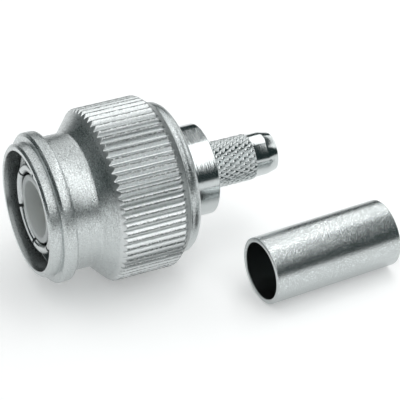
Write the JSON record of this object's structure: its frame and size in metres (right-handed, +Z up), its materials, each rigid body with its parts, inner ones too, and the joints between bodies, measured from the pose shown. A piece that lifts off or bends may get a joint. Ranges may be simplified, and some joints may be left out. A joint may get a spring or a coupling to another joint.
{
  "type": "coaxial cable connector",
  "caption": "Straight threaded coaxial crimp plug: a knurled coupling nut turns on the body, with its loose crimp ferrule lying beside it.",
  "frame": {"origin": "centre of the coupling nut's mouth, on the plug's axis", "axes": "+X along the plug's axis from its mouth to its cable end, +Z up, with the plug lying on its knurl"},
  "size_m": [0.0317, 0.0224, 0.0162],
  "materials": {
    "satin_nickel": "satin nickel plate over brass",
    "bright_nickel": "bright nickel plate over turned brass",
    "spring_metal": "nickel plate over spring bronze",
    "gold_plate": "gold plate over brass",
    "ptfe": "machined PTFE",
    "silicone": "soft silicone rubber",
    "ring_steel": "spring steel",
    "ferrule_nickel": "annealed, satin nickel plate"
  },
  "bodies": {
    "plug": {"connector_body": "bright_nickel", "outer_contact": "spring_metal", "insulator": "ptfe", "centre_contact": "gold_plate", "gasket": "silicone", "retaining_ring": "ring_steel", "crimp_ferrule": "ferrule_nickel"},
    "nut": {"coupling_nut": "satin_nickel"}
  },
  "joints": [
    {"name": "nut_turn", "type": "hinge", "parent": "plug", "child": "nut", "pos_m": [0.0135, 0, 0], "axis": [1, 0, 0], "continuous": true}
  ]
}
